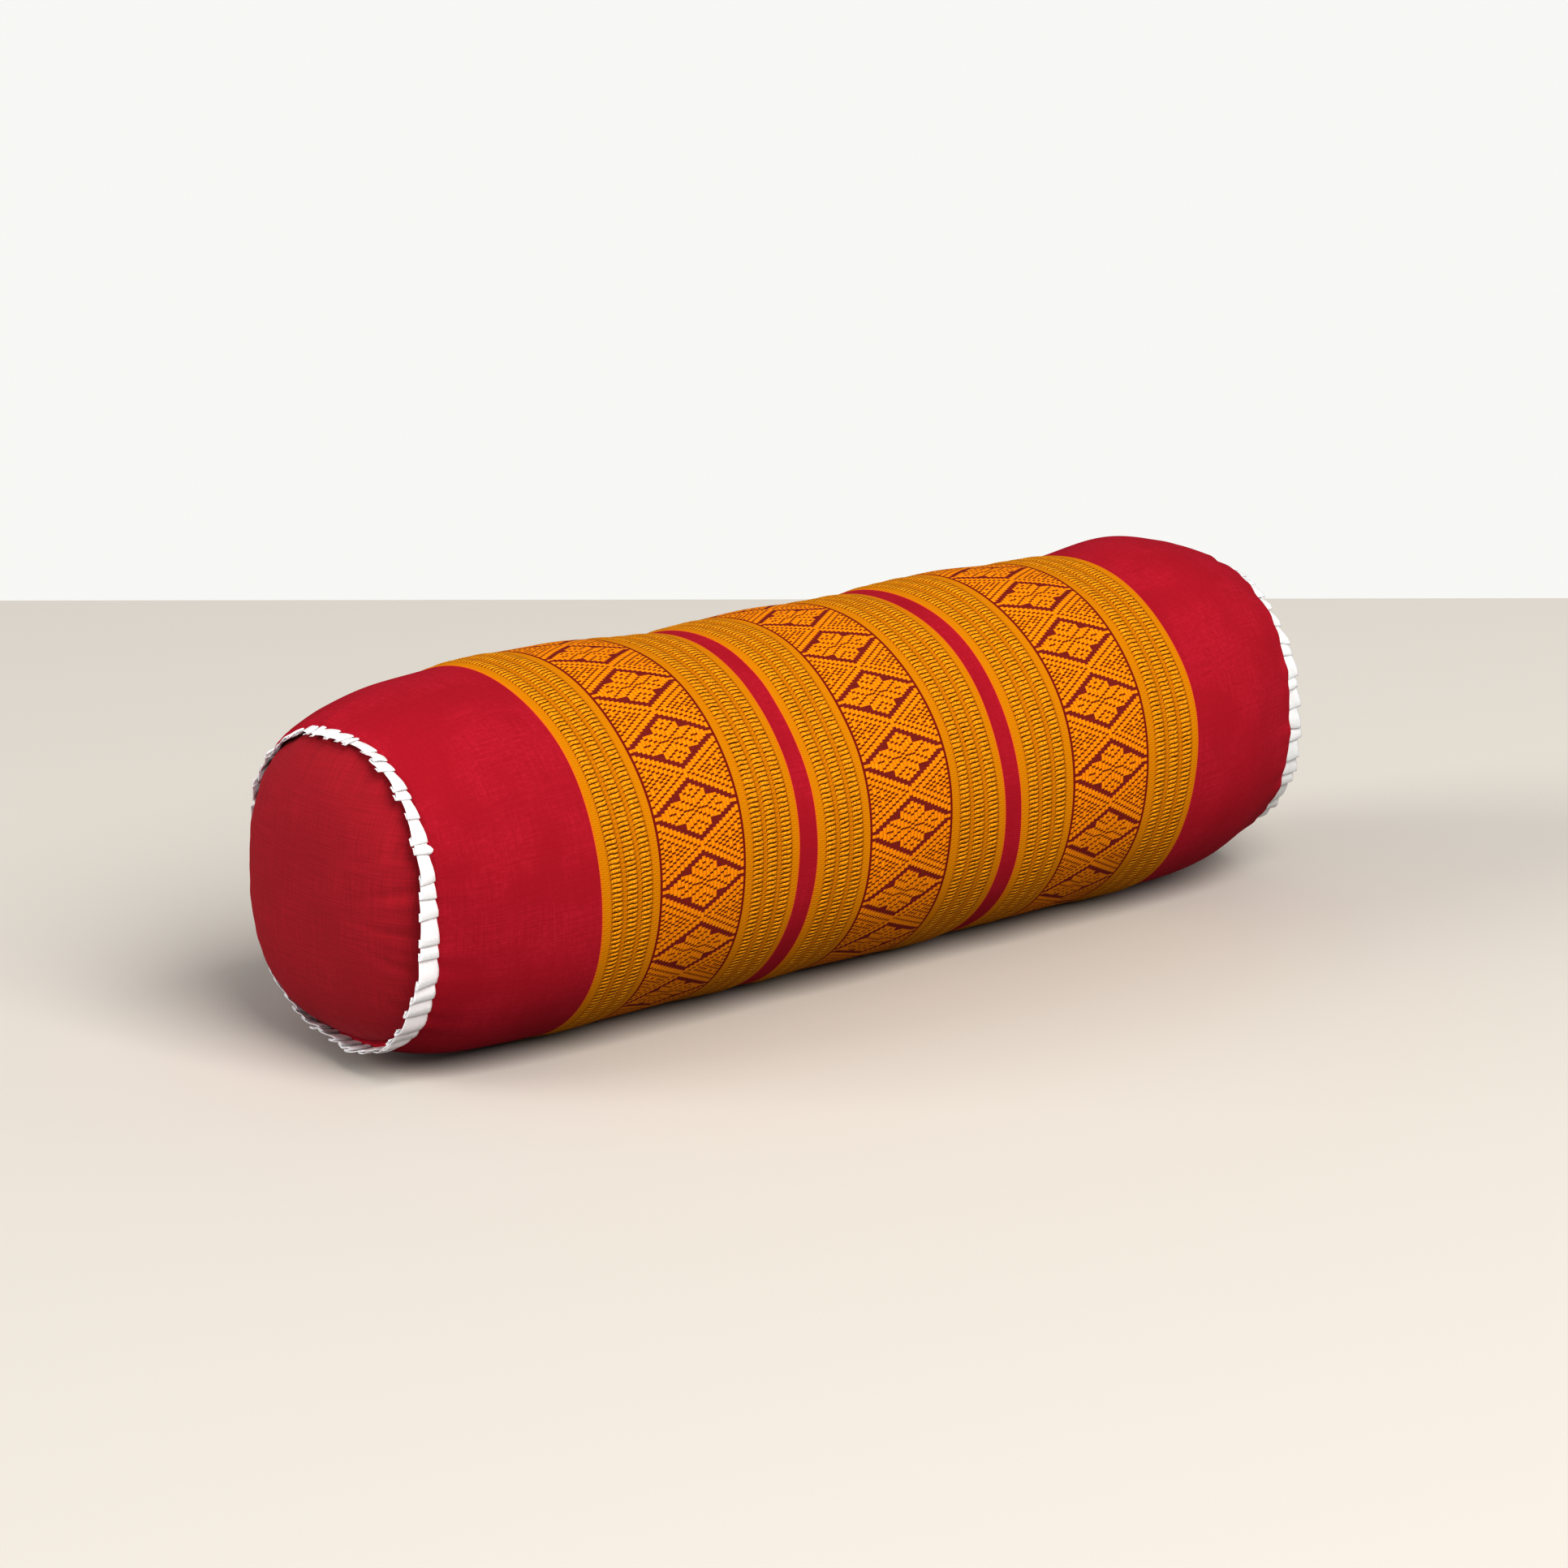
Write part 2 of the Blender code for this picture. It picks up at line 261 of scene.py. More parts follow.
def girth(x, angle):
    """Offset from the roll's middle line to its surface, as y and z."""
    across, up = np.cos(angle), np.sin(angle)
    share = endness(x)
    height = np.where(up >= 0, along(x, RISE), along(x, DROP))
    lower = np.where(np.asarray(x) > 0, END_LOWER_POWER[1], END_LOWER_POWER[-1])
    power = np.where(up >= 0, UPPER_POWER + (END_UPPER_POWER - UPPER_POWER) * share,
                     LOWER_POWER + (lower - LOWER_POWER) * share)
    return (along(x, HALF_WIDTH) * np.sign(across) * np.abs(across) ** (2 / power),
            height * np.sign(up) * np.abs(up) ** (2 / power))


def even_ring(x):
    """Offsets y and z of a ring, evenly spaced from the underside's middle up the front and over the top."""
    angle = math.tau * (0.75 - np.arange(DENSE + 1) / DENSE)
    y, z = girth(x, angle)
    steps = np.hypot(np.diff(y), np.diff(np.maximum(z, -CENTRE_Z)))
    distance = np.concatenate([[0.0], np.cumsum(steps)])
    wanted = distance[-1] * np.arange(AROUND) / AROUND
    return np.interp(wanted, distance, y), np.interp(wanted, distance, z)


def cloth_rows(xs, turns):
    """The weave's coordinates at places along the roll and shares of the way round from the underside."""
    knots = np.array([0.0, 0.14, 0.34, 0.47, 0.75, 1.0])
    cloth = np.array([edge.cloth for edge in EDGES])
    moves = np.array([(edge.low * 0.6, edge.low, 0.0, edge.top, 0.0, edge.low * 0.6) for edge in EDGES])
    middles = np.array([edge.middle for edge in EDGES])
    across = np.empty((len(xs), len(turns)))
    for k, turn in enumerate(turns):
        j = min(int(np.searchsorted(knots, turn, side="right")) - 1, len(knots) - 2)
        t = float(smooth(turn, knots[j], knots[j + 1]))
        across[:, k] = np.interp(xs, middles + moves[:, j] * (1 - t) + moves[:, j + 1] * t, cloth)
    slant = PHASE_SLANT * (np.asarray(xs)[:, None] - PHASE_X)
    return across, HALF_ROWS * (REPEATS * np.asarray(turns)[None, :] + PHASE + slant)


def relief(cloth):
    """How far the weave stands up at a place across the cloth."""
    past, soft, spread = 2.0, 0.9, 0.7
    inside = (cloth > -past) & (cloth < WEAVE_END + past)
    across = np.mod(cloth, GROUP)
    gold = np.minimum(smooth(across, 0.0, soft), 1 - smooth(across, GOLD - soft, GOLD))
    lift = BAND_LIFT * np.where(inside, gold, 0.0)
    edge = np.minimum(across, GOLD - across)
    for centre in BRAID_CENTRES:
        near = np.clip(1 - ((edge - centre) / (BRAID_WIDTH / 2 + spread)) ** 2, 0.0, 1.0)
        lift = lift + BRAID_LIFT * near * np.where(inside, 1.0, 0.0)
    return lift


def softness(x, turn):
    """Unevenness of the filling, and small gathers where the cloth goes into each end seam."""
    angle = math.tau * turn
    filling = (0.00035 * np.sin(2 * angle + 31 * x + 0.5) + 0.00030 * np.sin(3 * angle - 58 * x + 1.9)
               + 0.00022 * np.sin(5 * angle + 83 * x + 4.0) + 0.00016 * np.sin(7 * angle - 127 * x + 2.2))
    off_floor = smooth(np.abs(turn - 0.5), 0.5, 0.40)
    from_seam = np.maximum(SEAM_X - np.abs(x), 0.0)
    draw = np.exp(-from_seam / GATHER_REACH)
    if x < 0:
        gathers = (0.00010 * np.sin(23 * angle + 0.3)
                   + 0.00013 * np.sin(34 * angle + 1.7 + 3 * np.sin(angle))
                   + 0.00008 * np.sin(51 * angle + 0.9))
    else:
        gathers = (0.00030 * np.sin(17 * angle + 0.8 + 2 * np.sin(angle + 1))
                   + 0.00022 * np.sin(29 * angle + 2.4)
                   + 0.00014 * np.sin(47 * angle + 0.2))
    return filling * off_floor * (1 - 0.5 * draw) + gathers * draw * GATHER_GAIN


def rings_to_mesh(name, rings, maps, closed_tips=()):
    """A mesh from rings of points, with a map coordinate at each corner.

    closed_tips has (ring, tip, map coordinate) for each ring that is closed with a fan.
    """
    count = len(rings[0])
    points = np.concatenate(rings)
    faces, corners = [], []
    for k in range(len(rings) - 1):
        for i in range(count):
            j = (i + 1) % count
            faces.append((k * count + i, k * count + j, (k + 1) * count + j, (k + 1) * count + i))
            corners += [maps[k][i], maps[k][i + 1], maps[k + 1][i + 1], maps[k + 1][i]]
    points = [tuple(point) for point in points]
    for ring, tip, place in closed_tips:
        points.append(tuple(tip))
        for i in range(count):
            j = (i + 1) % count
            first, second = ring * count + i, ring * count + j
            if ring:
                faces.append((first, second, len(points) - 1))
                corners += [maps[ring][i], maps[ring][i + 1], place]
            else:
                faces.append((second, first, len(points) - 1))
                corners += [maps[ring][i + 1], maps[ring][i], place]
    data = bpy.data.meshes.new(name)
    data.from_pydata(points, [], faces)
    layer = data.uv_layers.new(name="cloth")
    layer.data.foreach_set("uv", np.array(corners, np.float32).ravel())
    data.shade_smooth()
    thing = bpy.data.objects.new(name, data)
    bpy.context.scene.collection.objects.link(thing)
    return thing


def face_out(thing):
    """Turns the faces of a closed mesh outwards."""
    data = thing.data
    points = np.empty(len(data.vertices) * 3)
    data.vertices.foreach_get("co", points)
    points = points.reshape(-1, 3)
    data.calc_loop_triangles()
    triangles = np.empty(len(data.loop_triangles) * 3, np.int32)
    data.loop_triangles.foreach_get("vertices", triangles)
    a, b, c = (points[triangles.reshape(-1, 3)[:, k]] for k in range(3))
    if np.einsum("ij,ij->i", a, np.cross(b, c)).sum() < 0:
        data.flip_normals()


def tube_point_rows():
    """Places along the tube, closer together over the gathers at each end."""
    wall = SEAM_X - EDGE_ROUND
    share = np.linspace(-1, 1, ALONG)
    return wall * (share + 0.10 * np.sin(math.pi * share))


def build_cover():
    """The filled tube with its rolled edges, and the filling's crown behind each panel."""
    turns = np.arange(AROUND) / AROUND
    ring_turns = np.arange(AROUND + 1) / AROUND
    wall = SEAM_X - EDGE_ROUND
    plan = []
    for k in range(EDGE_STEPS, 0, -1):
        turn = math.pi / 2 * k / EDGE_STEPS
        plan.append((-wall - EDGE_ROUND * math.sin(turn), EDGE_ROUND * (1 - math.cos(turn))))
    plan += [(x, 0.0) for x in tube_point_rows()]
    for k in range(1, EDGE_STEPS + 1):
        turn = math.pi / 2 * k / EDGE_STEPS
        plan.append((wall + EDGE_ROUND * math.sin(turn), EDGE_ROUND * (1 - math.cos(turn))))
    rings, maps = [], []
    weave = cloth_rows([x for x, inset in plan], ring_turns)
    for (x, inset), across, rows in zip(plan, *weave):
        y, z = even_ring(x)
        lift = relief(across[:-1]) + softness(x, turns) - inset
        reach = np.hypot(y, z)
        y, z = y * (1 + lift / reach), z * (1 + lift / reach)
        points = np.stack([x + askew(x, y), y, np.maximum(z + CENTRE_Z, 0.0)], axis=1)
        rings.append(points)
        maps.append(list(zip(across, rows)))
    for end, at in ((-1, 0), (1, len(rings))):
        y, z = even_ring(end * SEAM_X)
        reach = np.hypot(y, z)
        caps = []
        for share in CAP_SHARES:
            scale = share * (1 - (PANEL_INSET + CROWN_SINK) / reach)
            lift = (CROWN - CROWN_SINK) * (1 - share ** CROWN_FULLNESS) ** CROWN_SHOULDER
            x = end * (SEAM_X + lift)
            caps.append(np.stack([x + askew(x, y * scale), y * scale, z * scale + CENTRE_Z], axis=1))
        flat = [list(zip([end * CAP_PLACE] * (AROUND + 1), ring_turns))] * len(caps)
        if end < 0:
            rings, maps = caps[::-1] + rings, flat + maps
        else:
            rings, maps = rings + caps, maps + flat
    tip_x = SEAM_X + CROWN - CROWN_SINK
    tips = [(0, (-tip_x, 0.0, CENTRE_Z), (-CAP_PLACE, 0.0)),
            (len(rings) - 1, (tip_x, 0.0, CENTRE_Z), (CAP_PLACE, 0.0))]
    thing = rings_to_mesh("woven_cover", rings, maps, tips)
    face_out(thing)
    return thing


def build_panel(name, end):
    """One round panel: thin cloth over the crowned filling, a little puckered where it goes into the seam."""
    y, z = even_ring(end * SEAM_X)
    reach = np.hypot(y, z)
    angle = math.tau * np.arange(AROUND) / AROUND
    if end < 0:
        pucker = (0.5 * np.sin(13 * angle + 0.4) + 0.5 * np.sin(22 * angle + 2 * np.sin(angle) + 1.1)
                  + 0.35 * np.sin(37 * angle + 2.0))
    else:
        pucker = (0.5 * np.sin(15 * angle + 2.4) + 0.5 * np.sin(25 * angle + 2 * np.sin(angle) + 0.3)
                  + 0.35 * np.sin(41 * angle + 1.0))
    rings, maps = [], []
    for k in range(PANEL_STEPS, 0, -1):
        share = math.sin(math.pi / 2 * k / PANEL_STEPS)
        scale = share * (1 - PANEL_INSET / reach)
        drawn = share ** 9 * (1 - share ** 60)
        lift = (CROWN - CLOTH_GAP) * (1 - share ** CROWN_FULLNESS) ** CROWN_SHOULDER
        wave = PANEL_WAVE * np.sin(3 * angle + 9 * share) * share * (1 - share)
        lift = lift + pucker * drawn * PUCKER + wave
        for crease in CREASES if end < 0 else []:
            near = np.exp(-((angle / math.tau - crease.turn) / crease.half_width) ** 2)
            lift = lift - crease.depth * near * share ** crease.reach * (1 - share ** 40)
        x = end * (SEAM_X + CLOTH_GAP + lift)
        points = np.stack([x + askew(x, y * scale), y * scale, z * scale + CENTRE_Z], axis=1)
        rings.append(points)
        place = list(zip(y * scale * 1000, z * scale * 1000))
        maps.append(place + place[:1])
    tip = (end * (SEAM_X + CROWN), 0.0, CENTRE_Z)
    thing = rings_to_mesh(name, rings, maps, [(PANEL_STEPS - 1, tip, (0.0, 0.0))])
    if thing.data.polygons[-1].normal.x * end < 0:
        thing.data.flip_normals()
    shell = thing.modifiers.new("thickness", "SOLIDIFY")
    shell.thickness = PANEL_CLOTH
    shell.offset = -1
    return thing


def ribbon_at(end, share, column):
    """A smooth value of one column of RIBBONS at a share of the way round the seam."""
    rows = RIBBONS[end]
    share %= 1.0
    i = max(k for k in range(len(rows)) if share >= rows[k].turn)
    here, after = rows[i], rows[(i + 1) % len(rows)]
    t = (share - here.turn) / ((after.turn - here.turn) % 1.0)
    t = t * t * (3 - 2 * t)
    return getattr(here, column) * (1 - t) + getattr(after, column) * t


def pleat_rows(pitch, chance):
    """The ribbon's middle line as (distance round the seam, height, pleat, share of that pleat)."""
    under = pitch * PLEAT_UNDERLAP
    starts = [pitch * (k + 0.16 * math.sin(2.4 * k) + chance.uniform(-0.16, 0.16)) for k in range(PLEATS)]
    starts.append(starts[0] + pitch * PLEATS)
    rows = []
    for k, (start, end) in enumerate(zip(starts, starts[1:])):
        top, middle = 2 * LAYER_STEP, LAYER_STEP
        shown = end - start
        loose = chance.uniform(0.8, 1.25)
        rows += [
            (start - under * 0.96, 0.0, k, 0.0),
            (start - under * 0.5, 0.02 * LAYER_STEP, k, 0.05),
            (start, 0.12 * LAYER_STEP, k, 0.12),
            (start + shown * 0.22, 0.75 * LAYER_STEP * loose, k, 0.25),
            (start + shown * 0.45, 1.55 * LAYER_STEP * loose, k, 0.45),
            (start + shown * 0.70, top * 1.04 * loose, k, 0.65),
            (start + shown * 0.90, top * 1.02, k, 0.85),
            (end - 0.00015, top * 0.97, k, 0.97),
            (end + 0.00012, (top + middle) / 2, k, 1.0),
            (end - 0.00018, middle * 1.02, k, 1.0),
            (end - under * 0.5, middle, k, 1.0),
            (end - under * 0.90, middle * 0.98, k, 1.0),
            (end - under * 1.04, middle / 2, k, 1.0),
        ]
    return rows


def build_frill(name, end):
    """One pleated ribbon, pressed flat in the seam and opening towards its free edge."""
    chance = random.Random(FRILL_SEED[end])
    angle = math.tau * np.arange(FRILL_DENSE + 1) / FRILL_DENSE
    y, z = girth(end * SEAM_X, angle)
    distance = np.concatenate([[0.0], np.cumsum(np.hypot(np.diff(y), np.diff(z)))])
    whole = distance[-1]
    line = pleat_rows(whole / PLEATS, chance)
    reach_change = [chance.uniform(-0.0006, 0.0007) for _ in range(PLEATS)]
    lean_change = [chance.uniform(-5, 6) for _ in range(PLEATS)]
    slant = [chance.uniform(0.0005, 0.0020) for _ in range(PLEATS)]
    opening = [chance.uniform(0.0, 0.5) for _ in range(PLEATS)]
    curl = [chance.uniform(-0.0003, 0.0005) for _ in range(PLEATS)]
    skew = [chance.uniform(-0.0011, 0.0011) for _ in range(PLEATS)]
    jog = [chance.uniform(-0.0006, 0.0006) for _ in range(PLEATS)]
    rings = [[] for _ in RIBBON_SHARES]
    places = [[] for _ in RIBBON_SHARES]
    length = 0.0
    last = None

    def seam_point(at):
        """The seam's y and z at a distance round it."""
        return np.array([np.interp(at % whole, distance, y), np.interp(at % whole, distance, z)])

    for at, height, pleat, part in line:
        here = at % whole
        point = seam_point(here)
        before = seam_point(here - SLOPE_REACH)
        after = seam_point(here + SLOPE_REACH)
        tangent = (after - before) / np.hypot(*(after - before))
        outward = np.array([tangent[1], -tangent[0]])
        share_round = here / whole
        width = ribbon_at(end, share_round, "width") + reach_change[pleat] + slant[pleat] * (part - 0.5)
        lean = math.radians(ribbon_at(end, share_round, "lean") + lean_change[pleat] * part ** 1.4)
        inset = ribbon_at(end, share_round, "inset")
        if last is not None:
            length += math.hypot(at - last[0], height - last[1])
        last = (at, height)
        for k, share in enumerate(RIBBON_SHARES):
            if share < 0:
                out, forward = height * 0.8 - 0.0004, -RIBBON_ROOT
            else:
                opened = 1 + opening[pleat] * share ** 1.4
                bow = curl[pleat] * math.sin(math.pi * share)
                out = height * opened - width * share * math.sin(lean) + bow
                forward = width * share * math.cos(lean) + jog[pleat] * min(share * 5, 1)
                if end < 0 and pleat == LOOSE_PLEAT:
                    corner = max(1 - abs(part - 0.65) / 0.35, 0.0) * max(1 - share / 0.4, 0.0)
                    forward = forward - CORNER_BACK * corner
                    out = out + CORNER_OUT * corner
            spot = point + outward * (out - inset) + tangent * skew[pleat] * max(share, 0.0)
            x = end * (SEAM_X + CLOTH_GAP + forward)
            rings[k].append((x + float(askew(x, spot[0])), spot[0], spot[1] + CENTRE_Z))
            places[k].append((length * 1000, (0.15 + 0.85 * max(share, -0.15)) * RIBBON_WIDTH * 1000))
    for place in places:
        place.append((length * 1000 + 0.4, place[0][1]))
    thing = rings_to_mesh(name, [np.array(ring) for ring in rings], places)
    shell = thing.modifiers.new("thickness", "SOLIDIFY")
    shell.thickness = RIBBON
    shell.offset = 0
    return thing


class Chart:
    """Small helper that writes arithmetic as shader nodes."""

    def __init__(self, name):
        self.material = bpy.data.materials.new(name)
        self.material.use_nodes = True
        self.tree = self.material.node_tree
        self.shader = self.tree.nodes["Principled BSDF"]

    def link(self, value, socket):
        if isinstance(value, bpy.types.NodeSocket):
            self.tree.links.new(value, socket)
        else:
            socket.default_value = value

    def math(self, operation, *values):
        node = self.tree.nodes.new("ShaderNodeMath")
        node.operation = operation
        for value, socket in zip(values, node.inputs):
            self.link(value, socket)
        return node.outputs[0]

    def add(self, a, b):
        return self.math("ADD", a, b)

    def less(self, a, b):
        return self.math("SUBTRACT", a, b)

    def times(self, *values):
        result = values[0]
        for value in values[1:]:
            result = self.math("MULTIPLY", result, value)
        return result

    def size(self, a):
        return self.math("ABSOLUTE", a)

    def nearest(self, a):
        return self.math("ROUND", a)

    def rise(self, value, start, end):
        """0 below start, 1 above end, smooth between; the other way round where start is the larger."""
        node = self.tree.nodes.new("ShaderNodeMapRange")
        node.interpolation_type = "SMOOTHSTEP"
        flip = start > end
        low, high = min(start, end), max(start, end)
        self.link(value, node.inputs["Value"])
        node.inputs["From Min"].default_value = low
        node.inputs["From Max"].default_value = high
        node.inputs["To Min"].default_value = 1.0 if flip else 0.0
        node.inputs["To Max"].default_value = 0.0 if flip else 1.0
        return node.outputs["Result"]

    def within(self, value, low, high, soft):
        """1 between low and high, with soft edges."""
        return self.times(self.rise(value, low - soft, low + soft),
                          self.rise(value, high + soft, high - soft))

    def mix(self, share, first, second):
        node = self.tree.nodes.new("ShaderNodeMix")
        node.data_type = "RGBA"
        self.link(share, node.inputs["Factor"])
        for value, socket in ((first, node.inputs[6]), (second, node.inputs[7])):
            self.link(value, socket)
        return node.outputs[2]

    def combine(self, x, y, z):
        node = self.tree.nodes.new("ShaderNodeCombineXYZ")
        for value, socket in zip((x, y, z), node.inputs):
            self.link(value, socket)
        return node.outputs[0]

    def noise(self, across, up, fineness, layer, detail):
        """Noise over the cloth, as fine in each direction as fineness says. Each layer is another pattern."""
        node = self.tree.nodes.new("ShaderNodeTexNoise")
        place = self.combine(self.times(across, fineness[0]), self.times(up, fineness[1]), layer)
        self.link(place, node.inputs["Vector"])
        node.inputs["Scale"].default_value = 1.0
        node.inputs["Detail"].default_value = detail
        return node.outputs["Fac"]

    def place(self):
        """The two cloth coordinates of the piece."""
        node = self.tree.nodes.new("ShaderNodeUVMap")
        node.uv_map = "cloth"
        split = self.tree.nodes.new("ShaderNodeSeparateXYZ")
        self.tree.links.new(node.outputs["UV"], split.inputs[0])
        return split.outputs[0], split.outputs[1]

    def bump(self, height, strength):
        """Height in millimetres."""
        node = self.tree.nodes.new("ShaderNodeBump")
        node.inputs["Strength"].default_value = strength
        node.inputs["Distance"].default_value = 0.001
        self.link(height, node.inputs["Height"])
        self.tree.links.new(node.outputs["Normal"], self.shader.inputs["Normal"])


def plain_weave(chart, across, round_roll):
    """Height and slub of a plain weave."""
    first = chart.math("SINE", chart.times(across, math.tau / THREAD_PITCH))
    second = chart.math("SINE", chart.times(round_roll, math.tau / THREAD_PITCH))
    long_slub = chart.noise(across, round_roll, (1.6, 0.05), 0.0, 3.0)
    cross_slub = chart.noise(across, round_roll, (0.05, 1.6), 3.0, 3.0)
    return chart.times(first, second), chart.add(long_slub, cross_slub)


def red_ground(chart, across, row_mm):
    """Colour and height of the tube's plain red weave."""
    cells, slub = plain_weave(chart, across, row_mm)
    cloud = chart.noise(across, row_mm, (0.03, 0.03), 1.0, 3.0)
    fleck = chart.noise(across, row_mm, (0.45, 0.6), 6.0, 4.0)
    red = chart.mix(chart.rise(slub, 0.75, 1.25), RED_DARK, RED_LIGHT)
    red = chart.mix(chart.times(chart.rise(fleck, 0.45, 0.75), 0.6), red, RED_FLECK)
    red = chart.mix(chart.times(chart.rise(cloud, 0.42, 0.62), 0.75), red, RED_DARK)
    return red, chart.add(chart.times(cells, 0.035), chart.times(slub, 0.10))


def braids(chart, across, rows, row_mm, edge, hand):
    """Colour and height of the braids: ribbed columns of short bright blobs, parted by thin brown lines.

    edge counts inwards from the group's nearer edge, and hand is -1 left of its middle and 1 right of it.
    """
    yarn = chart.noise(across, row_mm, (1.7, 1.5), 2.0, 2.0)
    from_first = chart.less(edge, BRAID_CENTRES[0])
    column = chart.nearest(chart.math("DIVIDE", from_first, BRAID_PITCH))
    last_column = len(BRAID_CENTRES) - 1.0
    column = chart.math("MINIMUM", chart.math("MAXIMUM", column, 0.0), last_column)
    off = chart.times(chart.less(from_first, chart.times(column, BRAID_PITCH)), hand, -2 / BRAID_WIDTH)
    off_size = chart.size(off)
    wobble = chart.noise(across, row_mm, (0.25, 0.55), 5.0, 1.0)
    turn = chart.less(chart.times(rows, 0.5), chart.times(off, off, off, 0.13))
    turn = chart.add(chart.add(turn, chart.times(wobble, 0.42)), chart.times(across, 0.016))
    from_line = chart.size(chart.less(turn, chart.nearest(turn)))
    in_column = chart.rise(off_size, 1.06, 0.94)
    tail = chart.rise(off_size, 1.32, 1.05)
    line = chart.times(chart.rise(from_line, 0.175, 0.090), tail)
    dots = chart.times(chart.rise(chart.math("COSINE", chart.times(off, 8.6)), 0.35, 0.85),
                       chart.rise(chart.size(chart.less(from_line, 0.36)), 0.11, 0.04))
    blob = chart.mix(chart.rise(yarn, 0.36, 0.62), GOLD_BLOB_DARK, GOLD_BLOB_LIGHT)
    blob = chart.mix(chart.times(dots, 0.5), blob, GOLD_DOT)
    ribs = chart.math("SINE", chart.less(chart.times(rows, math.pi), chart.times(across, 1.35)))
    fine = chart.math("SINE", chart.add(chart.times(rows, math.pi * 2.1), chart.times(across, 0.9)))
    strip = chart.mix(chart.times(chart.rise(ribs, 0.1, 1.0), 0.7), GOLD_STRIP, GOLD_STRIP_LINE)
    beside = chart.times(chart.rise(off, 0.90, 1.0), chart.rise(off, 1.6, 1.1), 0.6)
    strip = chart.mix(beside, strip, GOLD_STRIP_LINE)
    plain = chart.mix(chart.rise(fine, -0.2, 1.0), GOLD_PLAIN, GOLD_PLAIN_LINE)
    plain = chart.mix(chart.times(chart.rise(edge, 0.75, 0.35), 0.7), plain, GOLD_EDGE)
    plain_edge = chart.math("MAXIMUM", chart.rise(edge, 3.9, 3.3), chart.rise(edge, 24.4, 25.2))
    cloth = chart.mix(plain_edge, strip, plain)
    cloth = chart.mix(in_column, cloth, blob)
    cloth = chart.mix(line, cloth, GOLD_LINE)
    pillow = chart.rise(from_line, 0.05, 0.42)
    blob_round = chart.times(in_column, pillow, chart.less(1.0, chart.times(off, off, 0.55)))
    return cloth, chart.add(chart.times(blob_round, 0.45), chart.times(chart.add(ribs, fine), 0.03))


def diamonds(chart, across, rows, row_mm, middle, hand):
    """Colour and height of the diamonds: floats in columns, tied down by short maroon marks.

    middle counts outwards from the group's middle, and hand is -1 left of it and 1 right of it.
    """
    columns = chart.math("DIVIDE", middle, FLOAT_STEP)
    i = chart.nearest(columns)
    in_float = chart.less(columns, i)
    in_float_size = chart.size(in_float)
    diamond = chart.nearest(chart.math("DIVIDE", rows, HALF_ROWS))
    centre = chart.times(diamond, HALF_ROWS)
    from_centre = chart.size(chart.less(rows, centre))
    total = chart.add(i, from_centre)
    outline = chart.within(total, OUTLINE_IN, OUTLINE_OUT, 0.10)
    bar = chart.times(chart.rise(i, 9.5, 9.6), chart.rise(from_centre, 0.85, 0.65))
    outline = chart.times(outline, chart.less(1.0, bar))
    notch = chart.times(chart.rise(i, 3.4, 3.6), chart.rise(from_centre, 4.6, 4.8),
                        chart.rise(total, 11.2, 11.0))
    slanted = chart.less(rows, chart.times(in_float, hand, 0.28))
    j = chart.size(chart.less(slanted, centre))
    ring = chart.add(i, j)
    apart = chart.less(j, i)
    odd = chart.rise(chart.math("COSINE", chart.times(i, math.pi)), 0.0, -0.5)

    def mark(value, at, *limits):
        """A row of short marks where value is close to at, kept to the limits."""
        return chart.times(chart.rise(chart.size(chart.less(value, at)), 0.44, 0.28), *limits)

    inner = chart.rise(total, 10.4, 10.2)
    outer = chart.rise(total, 13.2, 13.4)
    marks = [
        mark(apart, 1.0, chart.rise(i, 3.6, 3.4), inner),
        mark(apart, 5.0, chart.rise(i, 2.6, 2.4), inner),
        mark(apart, -3.0, chart.within(i, 3.5, 6.5, 0.1), inner),
        mark(j, 8.0, chart.rise(i, 0.6, 0.4)),
        mark(j, 0.0, chart.within(i, 0.5, 3.5, 0.1)),
        mark(j, 0.0, chart.within(i, 5.5, 7.5, 0.1)),
        mark(ring, 16.0, outer),
        mark(ring, 19.0, outer),
        mark(ring, 21.0, outer, chart.math("MAXIMUM", odd, chart.rise(i, 6.6, 6.4))),
        mark(ring, 23.0, outer),
        mark(ring, 25.0, outer),
    ]
    tied = marks[0]
    for other in marks[1:]:
        tied = chart.math("MAXIMUM", tied, other)
    tied = chart.times(tied, chart.rise(in_float_size, 0.50, 0.40))
    ground = chart.math("MAXIMUM", outline, notch)
    float_yarn = chart.noise(across, row_mm, (4.0, 0.5), 7.0, 2.0)
    orange = chart.mix(chart.rise(float_yarn, 0.35, 0.7), ORANGE_DARK, ORANGE_LIGHT)
    # painted shade: each float's sides are darkened where its hump falls away into the gap
    painted_side_shade = chart.rise(in_float_size, 0.34, 0.5)
    orange = chart.mix(chart.times(painted_side_shade, 0.45), orange, ORANGE_PAINTED_SHADE)
    maroon = chart.mix(chart.rise(float_yarn, 0.3, 0.7), MAROON_DARK, MAROON_LIGHT)
    cloth = chart.mix(ground, chart.mix(tied, orange, TIE), maroon)
    sunk = chart.math("MAXIMUM", tied, ground)
    hump = chart.less(1.0, chart.times(in_float, in_float, 3.2))
    return cloth, chart.times(hump, chart.less(1.0, sunk), 0.34)


